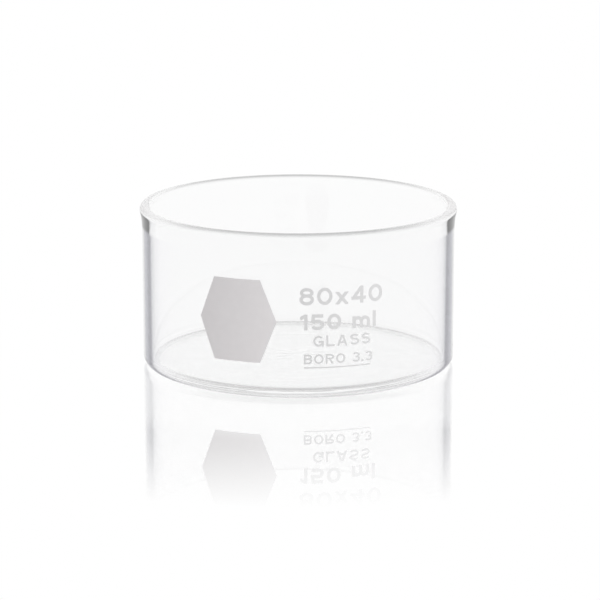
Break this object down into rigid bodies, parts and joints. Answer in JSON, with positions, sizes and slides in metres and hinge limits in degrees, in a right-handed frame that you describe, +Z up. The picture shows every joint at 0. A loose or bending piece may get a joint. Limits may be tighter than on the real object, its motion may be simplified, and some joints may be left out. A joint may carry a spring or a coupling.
{
  "type": "crystallizing dish",
  "caption": "Straight-walled flat-bottomed laboratory dish in clear borosilicate glass with a beaded rim, a white six-sided patch to write on and white enamel size markings.",
  "frame": {"origin": "centre of the resting face, on the dish's axis", "axes": "+Z up along the dish's axis, -Y towards the side with the enamel markings, +X to the right when facing that side"},
  "size_m": [0.08, 0.08, 0.0408],
  "materials": {
    "clear_glass": "polished",
    "white_enamel": "satin"
  },
  "bodies": {
    "root": {"glass_dish": "clear_glass", "marking_patch": "white_enamel", "size_marking": "white_enamel", "capacity_marking": "white_enamel", "material_marking": "white_enamel", "glass_type_marking": "white_enamel", "rule_line": "white_enamel"}
  },
  "joints": []
}
